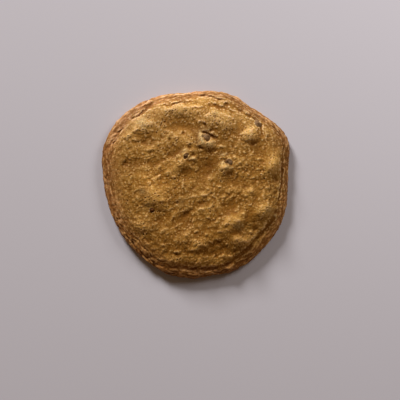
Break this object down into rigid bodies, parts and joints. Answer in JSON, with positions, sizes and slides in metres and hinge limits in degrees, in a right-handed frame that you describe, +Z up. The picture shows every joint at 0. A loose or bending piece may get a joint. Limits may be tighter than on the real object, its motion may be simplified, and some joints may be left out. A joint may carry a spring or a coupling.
{
  "type": "chocolate chip cookie",
  "caption": "Round baked cookie with an uneven outline, folded rim, low lumpy crown and chocolate chips that just show through the crust.",
  "frame": {"origin": "centre of the flat underside, under the middle of the outline's box", "axes": "+Z up through the crust, +X to the flat side of the outline, +Y to the side with the largest chip"},
  "size_m": [0.1064, 0.1072, 0.0136],
  "materials": {
    "baked_crust": "matte, crumbly",
    "chocolate": "satin"
  },
  "bodies": {
    "root": {"cookie": "baked_crust", "chip_crown": "chocolate", "chip_crown_left": "chocolate", "chip_crown_right": "chocolate", "chip_low_left": "chocolate", "chip_edge": "chocolate"}
  },
  "joints": []
}
